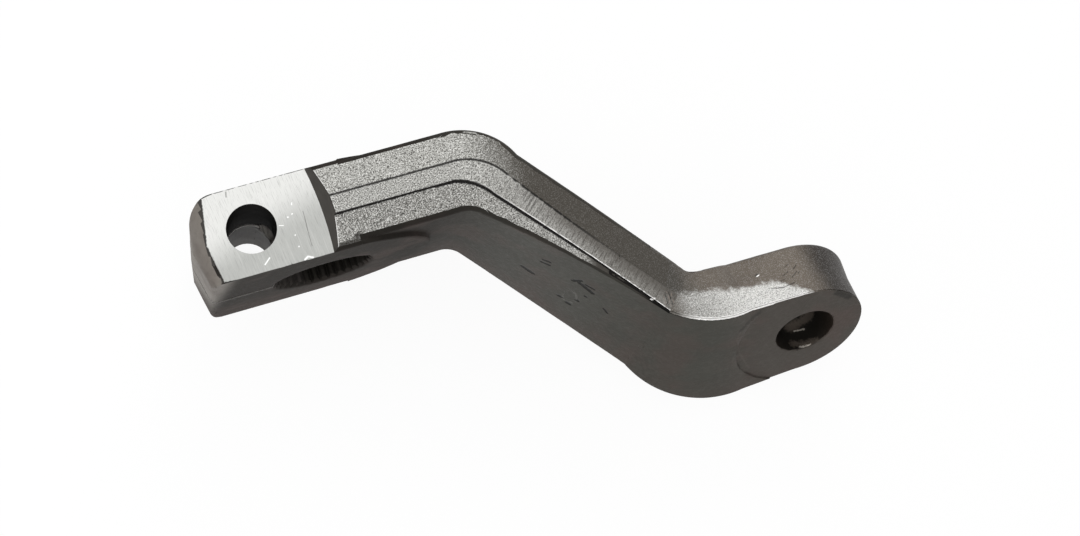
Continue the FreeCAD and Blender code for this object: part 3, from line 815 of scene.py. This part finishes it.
for longest in (30, 15, 7.5, 5):
    refine(longest * MM, creases_only=False)
clear_flat_faces()
for longest in (3, 1.6):
    refine(longest * MM, creases_only=True)
    clear_flat_faces()
split_short_cuts()
clear_flat_faces()
refine_beside_lines(2.6 * MM, {PAD, SKIN, LAND, UPPER, LOWER})
refine_beside_lines(1.6 * MM, {PAD, SKIN})
clear_flat_faces()
around = kinds_around()


# The lines that the finishes draw, as distances in mm from the edges between the finishes
def near_each_other(first, second):
    """The vertices at the finishes of first that lie beside, but not on, one at those of second."""
    tree = KDTree(len(around))
    for index, kinds in enumerate(around):
        if second <= kinds:
            tree.insert(mesh.vertices[index].co, index)
    tree.balance()
    return {index for index, kinds in enumerate(around)
            if first <= kinds and 0 < (tree.find(mesh.vertices[index].co)[2] or 0) < STEP_WIDTH}


def measure(name, chosen):
    """An attribute with the distance from the line through the chosen vertices."""
    places = [vertex.co for vertex in mesh.vertices]
    ends = [edge.vertices for edge in mesh.edges if all(index in chosen for index in edge.vertices)]
    tree = KDTree(4 * len(ends) + 1)
    for first, second in ends:
        for quarter in range(4):
            tree.insert(places[first].lerp(places[second], quarter / 4), first)
    tree.balance()
    attribute = mesh.attributes.new(name, "FLOAT", "POINT")
    for index, place in enumerate(places):
        distance = tree.find(place)[2] / MM if ends else FARTHEST
        attribute.data[index].value = min(distance, FARTHEST)


def where(test):
    return {index for index, kinds in enumerate(around) if test(kinds)}


step = near_each_other({LAND, SKIN}, {LOWER, SKIN}) | near_each_other({LOWER, SKIN}, {LAND, SKIN})
measure("from_dark_line", where(lambda kinds: {LAND, UPPER} <= kinds))
measure("from_undercut", where(lambda kinds: {LAND, LOWER} <= kinds) | step)
measure("from_low_edge", where(
    lambda kinds: SKIN in kinds and kinds & {LOWER, LAND} and UPPER not in kinds) - step)
measure("from_pad_rim", where(lambda kinds: {PAD, SKIN} <= kinds))
measure("from_lip", where(lambda kinds: kinds in ({LAND, SKIN}, {NECK, SKIN})))
measure("from_wall", where(lambda kinds: kinds in ({WALL, LAND}, {WALL, UPPER}, {WALL, LOWER})))
forged = arm.vertex_groups.new(name="forged")
forged.add(list(where(lambda kinds: not kinds & {PAD, BORED, WALL})), 1.0, "REPLACE")

# Unevenness of the forged skin, which only takes material away
texture = bpy.data.textures.new("forging_swell", "CLOUDS")
texture.noise_scale = SWELL_SIZE
texture.noise_depth = 2
swell = arm.modifiers.new("forging_swell", "DISPLACE")
swell.texture = texture
swell.texture_coords = "LOCAL"
swell.strength = SWELL_DEPTH
swell.mid_level = 1.0
swell.vertex_group = forged.name
bpy.ops.object.modifier_apply(modifier=swell.name)

# The inner corner of the second bend, rounded as the die leaves it
sides_at = {}
for polygon in mesh.polygons:
    if CORNER_START < polygon.center.x < CORNER_END:
        facing = [polygon.normal.dot(SLOPE_UP), polygon.normal.dot(EYE_AXIS)]
        if max(facing) > 0.93:
            for index in polygon.vertices:
                sides_at.setdefault(index, set()).add(facing.index(max(facing)))
fold = [mesh.vertices[index].co.copy() for index, sides in sides_at.items() if len(sides) == 2]
clear_selection()
for vertex in mesh.vertices:
    vertex.select = any((vertex.co - place).length < CORNER_REACH for place in fold)
edit("VERT")
bpy.ops.mesh.vertices_smooth(factor=0.5, repeat=8)
done()

for vertex in mesh.vertices:
    vertex.co = [min(max(place, low), high) for place, low, high in zip(vertex.co, *cad_box)]


def is_soft(index):
    """Whether no crease shows at a vertex: on the neck's side and where the dark line ends."""
    place = mesh.vertices[index].co
    on_neck = around[index] == {NECK} and place.x > EYE_START
    return on_neck or (place - DARK_LINE_END).length < SOFT_REACH


bpy.ops.object.shade_smooth_by_angle(angle=radians(24))
for edge in mesh.edges:
    if all(is_soft(index) for index in edge.vertices):
        edge.use_edge_sharp = False
weigh = arm.modifiers.new("even_shading", "WEIGHTED_NORMAL")
weigh.keep_sharp = True
bpy.ops.object.modifier_apply(modifier=weigh.name)
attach(arm, "root")
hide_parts("pitman_arm")

# A white floor and sky, whose brightness for the camera and for the light is set apart
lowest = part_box("pitman_arm")[0].z
bpy.ops.object.select_all(action="DESELECT")
bpy.ops.mesh.primitive_plane_add(size=8.0, location=(0.08, -0.05, lowest))
floor = bpy.context.object
floor.name = "floor"
bpy.ops.object.transform_apply(location=True, rotation=True, scale=True)


def seen_directly(finish):
    """1 for the rays that come from the camera, from a mirror or through glass."""
    rays = finish.node("LightPath", "Is Camera Ray").socket.node
    names = ("Is Camera Ray", "Is Glossy Ray", "Is Transmission Ray")
    camera_ray, glossy_ray, glass_ray = (Value(finish, rays.outputs[name]) for name in names)
    return finish.maths("MAXIMUM", finish.maths("MAXIMUM", camera_ray, glossy_ray), glass_ray)


paper = Finish("floor_paper", Base_Color=(0.82, 0.82, 0.82), Roughness=0.9)
glow = paper.node("Emission", Color=WHITE, Strength=1.08)
blend = paper.node("MixShader", 0, None, {0: seen_directly(paper) * 0.86, 2: glow})
paper.tree.links.new(paper.shader.outputs[0], blend.socket.node.inputs[1])
paper.link(paper.tree.nodes["Material Output"].inputs["Surface"], blend)
floor.data.materials.append(paper.material)


class Sky(Finish):
    """The world's own node tree, written in the same way."""

    def __init__(self, name):
        self.world = bpy.data.worlds.new(name)
        self.world.use_nodes = True
        self.tree = self.world.node_tree


sky = Sky("studio")
backdrop = sky.tree.nodes["Background"]
sky.link(backdrop.inputs["Color"], WHITE)
sky.link(backdrop.inputs["Strength"], seen_directly(sky) * 0.55 + 0.45)
bpy.context.scene.world = sky.world


def add_light(name, place, target, size, power):
    bpy.ops.object.light_add(type="AREA", location=place)
    lamp = bpy.context.object
    lamp.name = name
    lamp.data.shape = "DISK"
    lamp.data.size = size
    lamp.data.energy = power
    lamp.rotation_euler = (Vector(place) - Vector(target)).to_track_quat("Z", "Y").to_euler()


add_light("overhead_softbox", (-0.20, 0.35, 1.35), (0.05, -0.04, 0.0), size=1.6, power=2.2)
add_light("side_softbox", (0.45, 0.85, 0.75), (0.15, -0.08, 0.0), size=0.8, power=2.0)
add_light("left_softbox", (-0.75, 0.05, 0.35), (0.0, 0.0, 0.0), size=0.5, power=0.8)

# The photo's camera, as fitted to the bore, the pads, the bolt's hole, the eye and the outline
bpy.ops.object.camera_add(location=(-0.08723, -0.14886, 0.85953))
camera = bpy.context.object
camera.rotation_euler = (radians(10.122), radians(-9.160), radians(-17.682))
camera.data.sensor_width = 36.0
camera.data.lens = 66.69
camera.data.clip_start = 0.02
bpy.context.scene.camera = camera
bpy.context.scene.view_settings.view_transform = "Standard"
